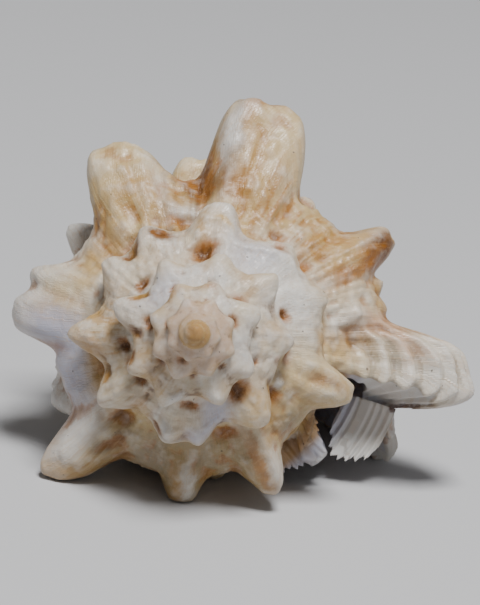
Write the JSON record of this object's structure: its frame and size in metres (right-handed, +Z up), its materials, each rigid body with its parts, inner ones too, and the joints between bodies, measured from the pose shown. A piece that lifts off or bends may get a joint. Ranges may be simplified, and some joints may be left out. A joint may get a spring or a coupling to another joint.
{
  "type": "frog shell",
  "caption": "Heavy spiral sea shell with a tall knobbed spire, blunt arms around the last whorl, a flared outer lip and an open mouth, lying mouth side down.",
  "frame": {"origin": "centre of the bounding box at the resting plane, under the body of the shell", "axes": "+Z up from the resting plane, -Y the way the spire points, +X the side of the outer lip and its long arm"},
  "size_m": [0.0854, 0.0878, 0.0667],
  "materials": {
    "shell": "satin cream and tan shell with rust brown pits and white lip"
  },
  "bodies": {
    "root": {"shell": "shell"}
  },
  "joints": []
}
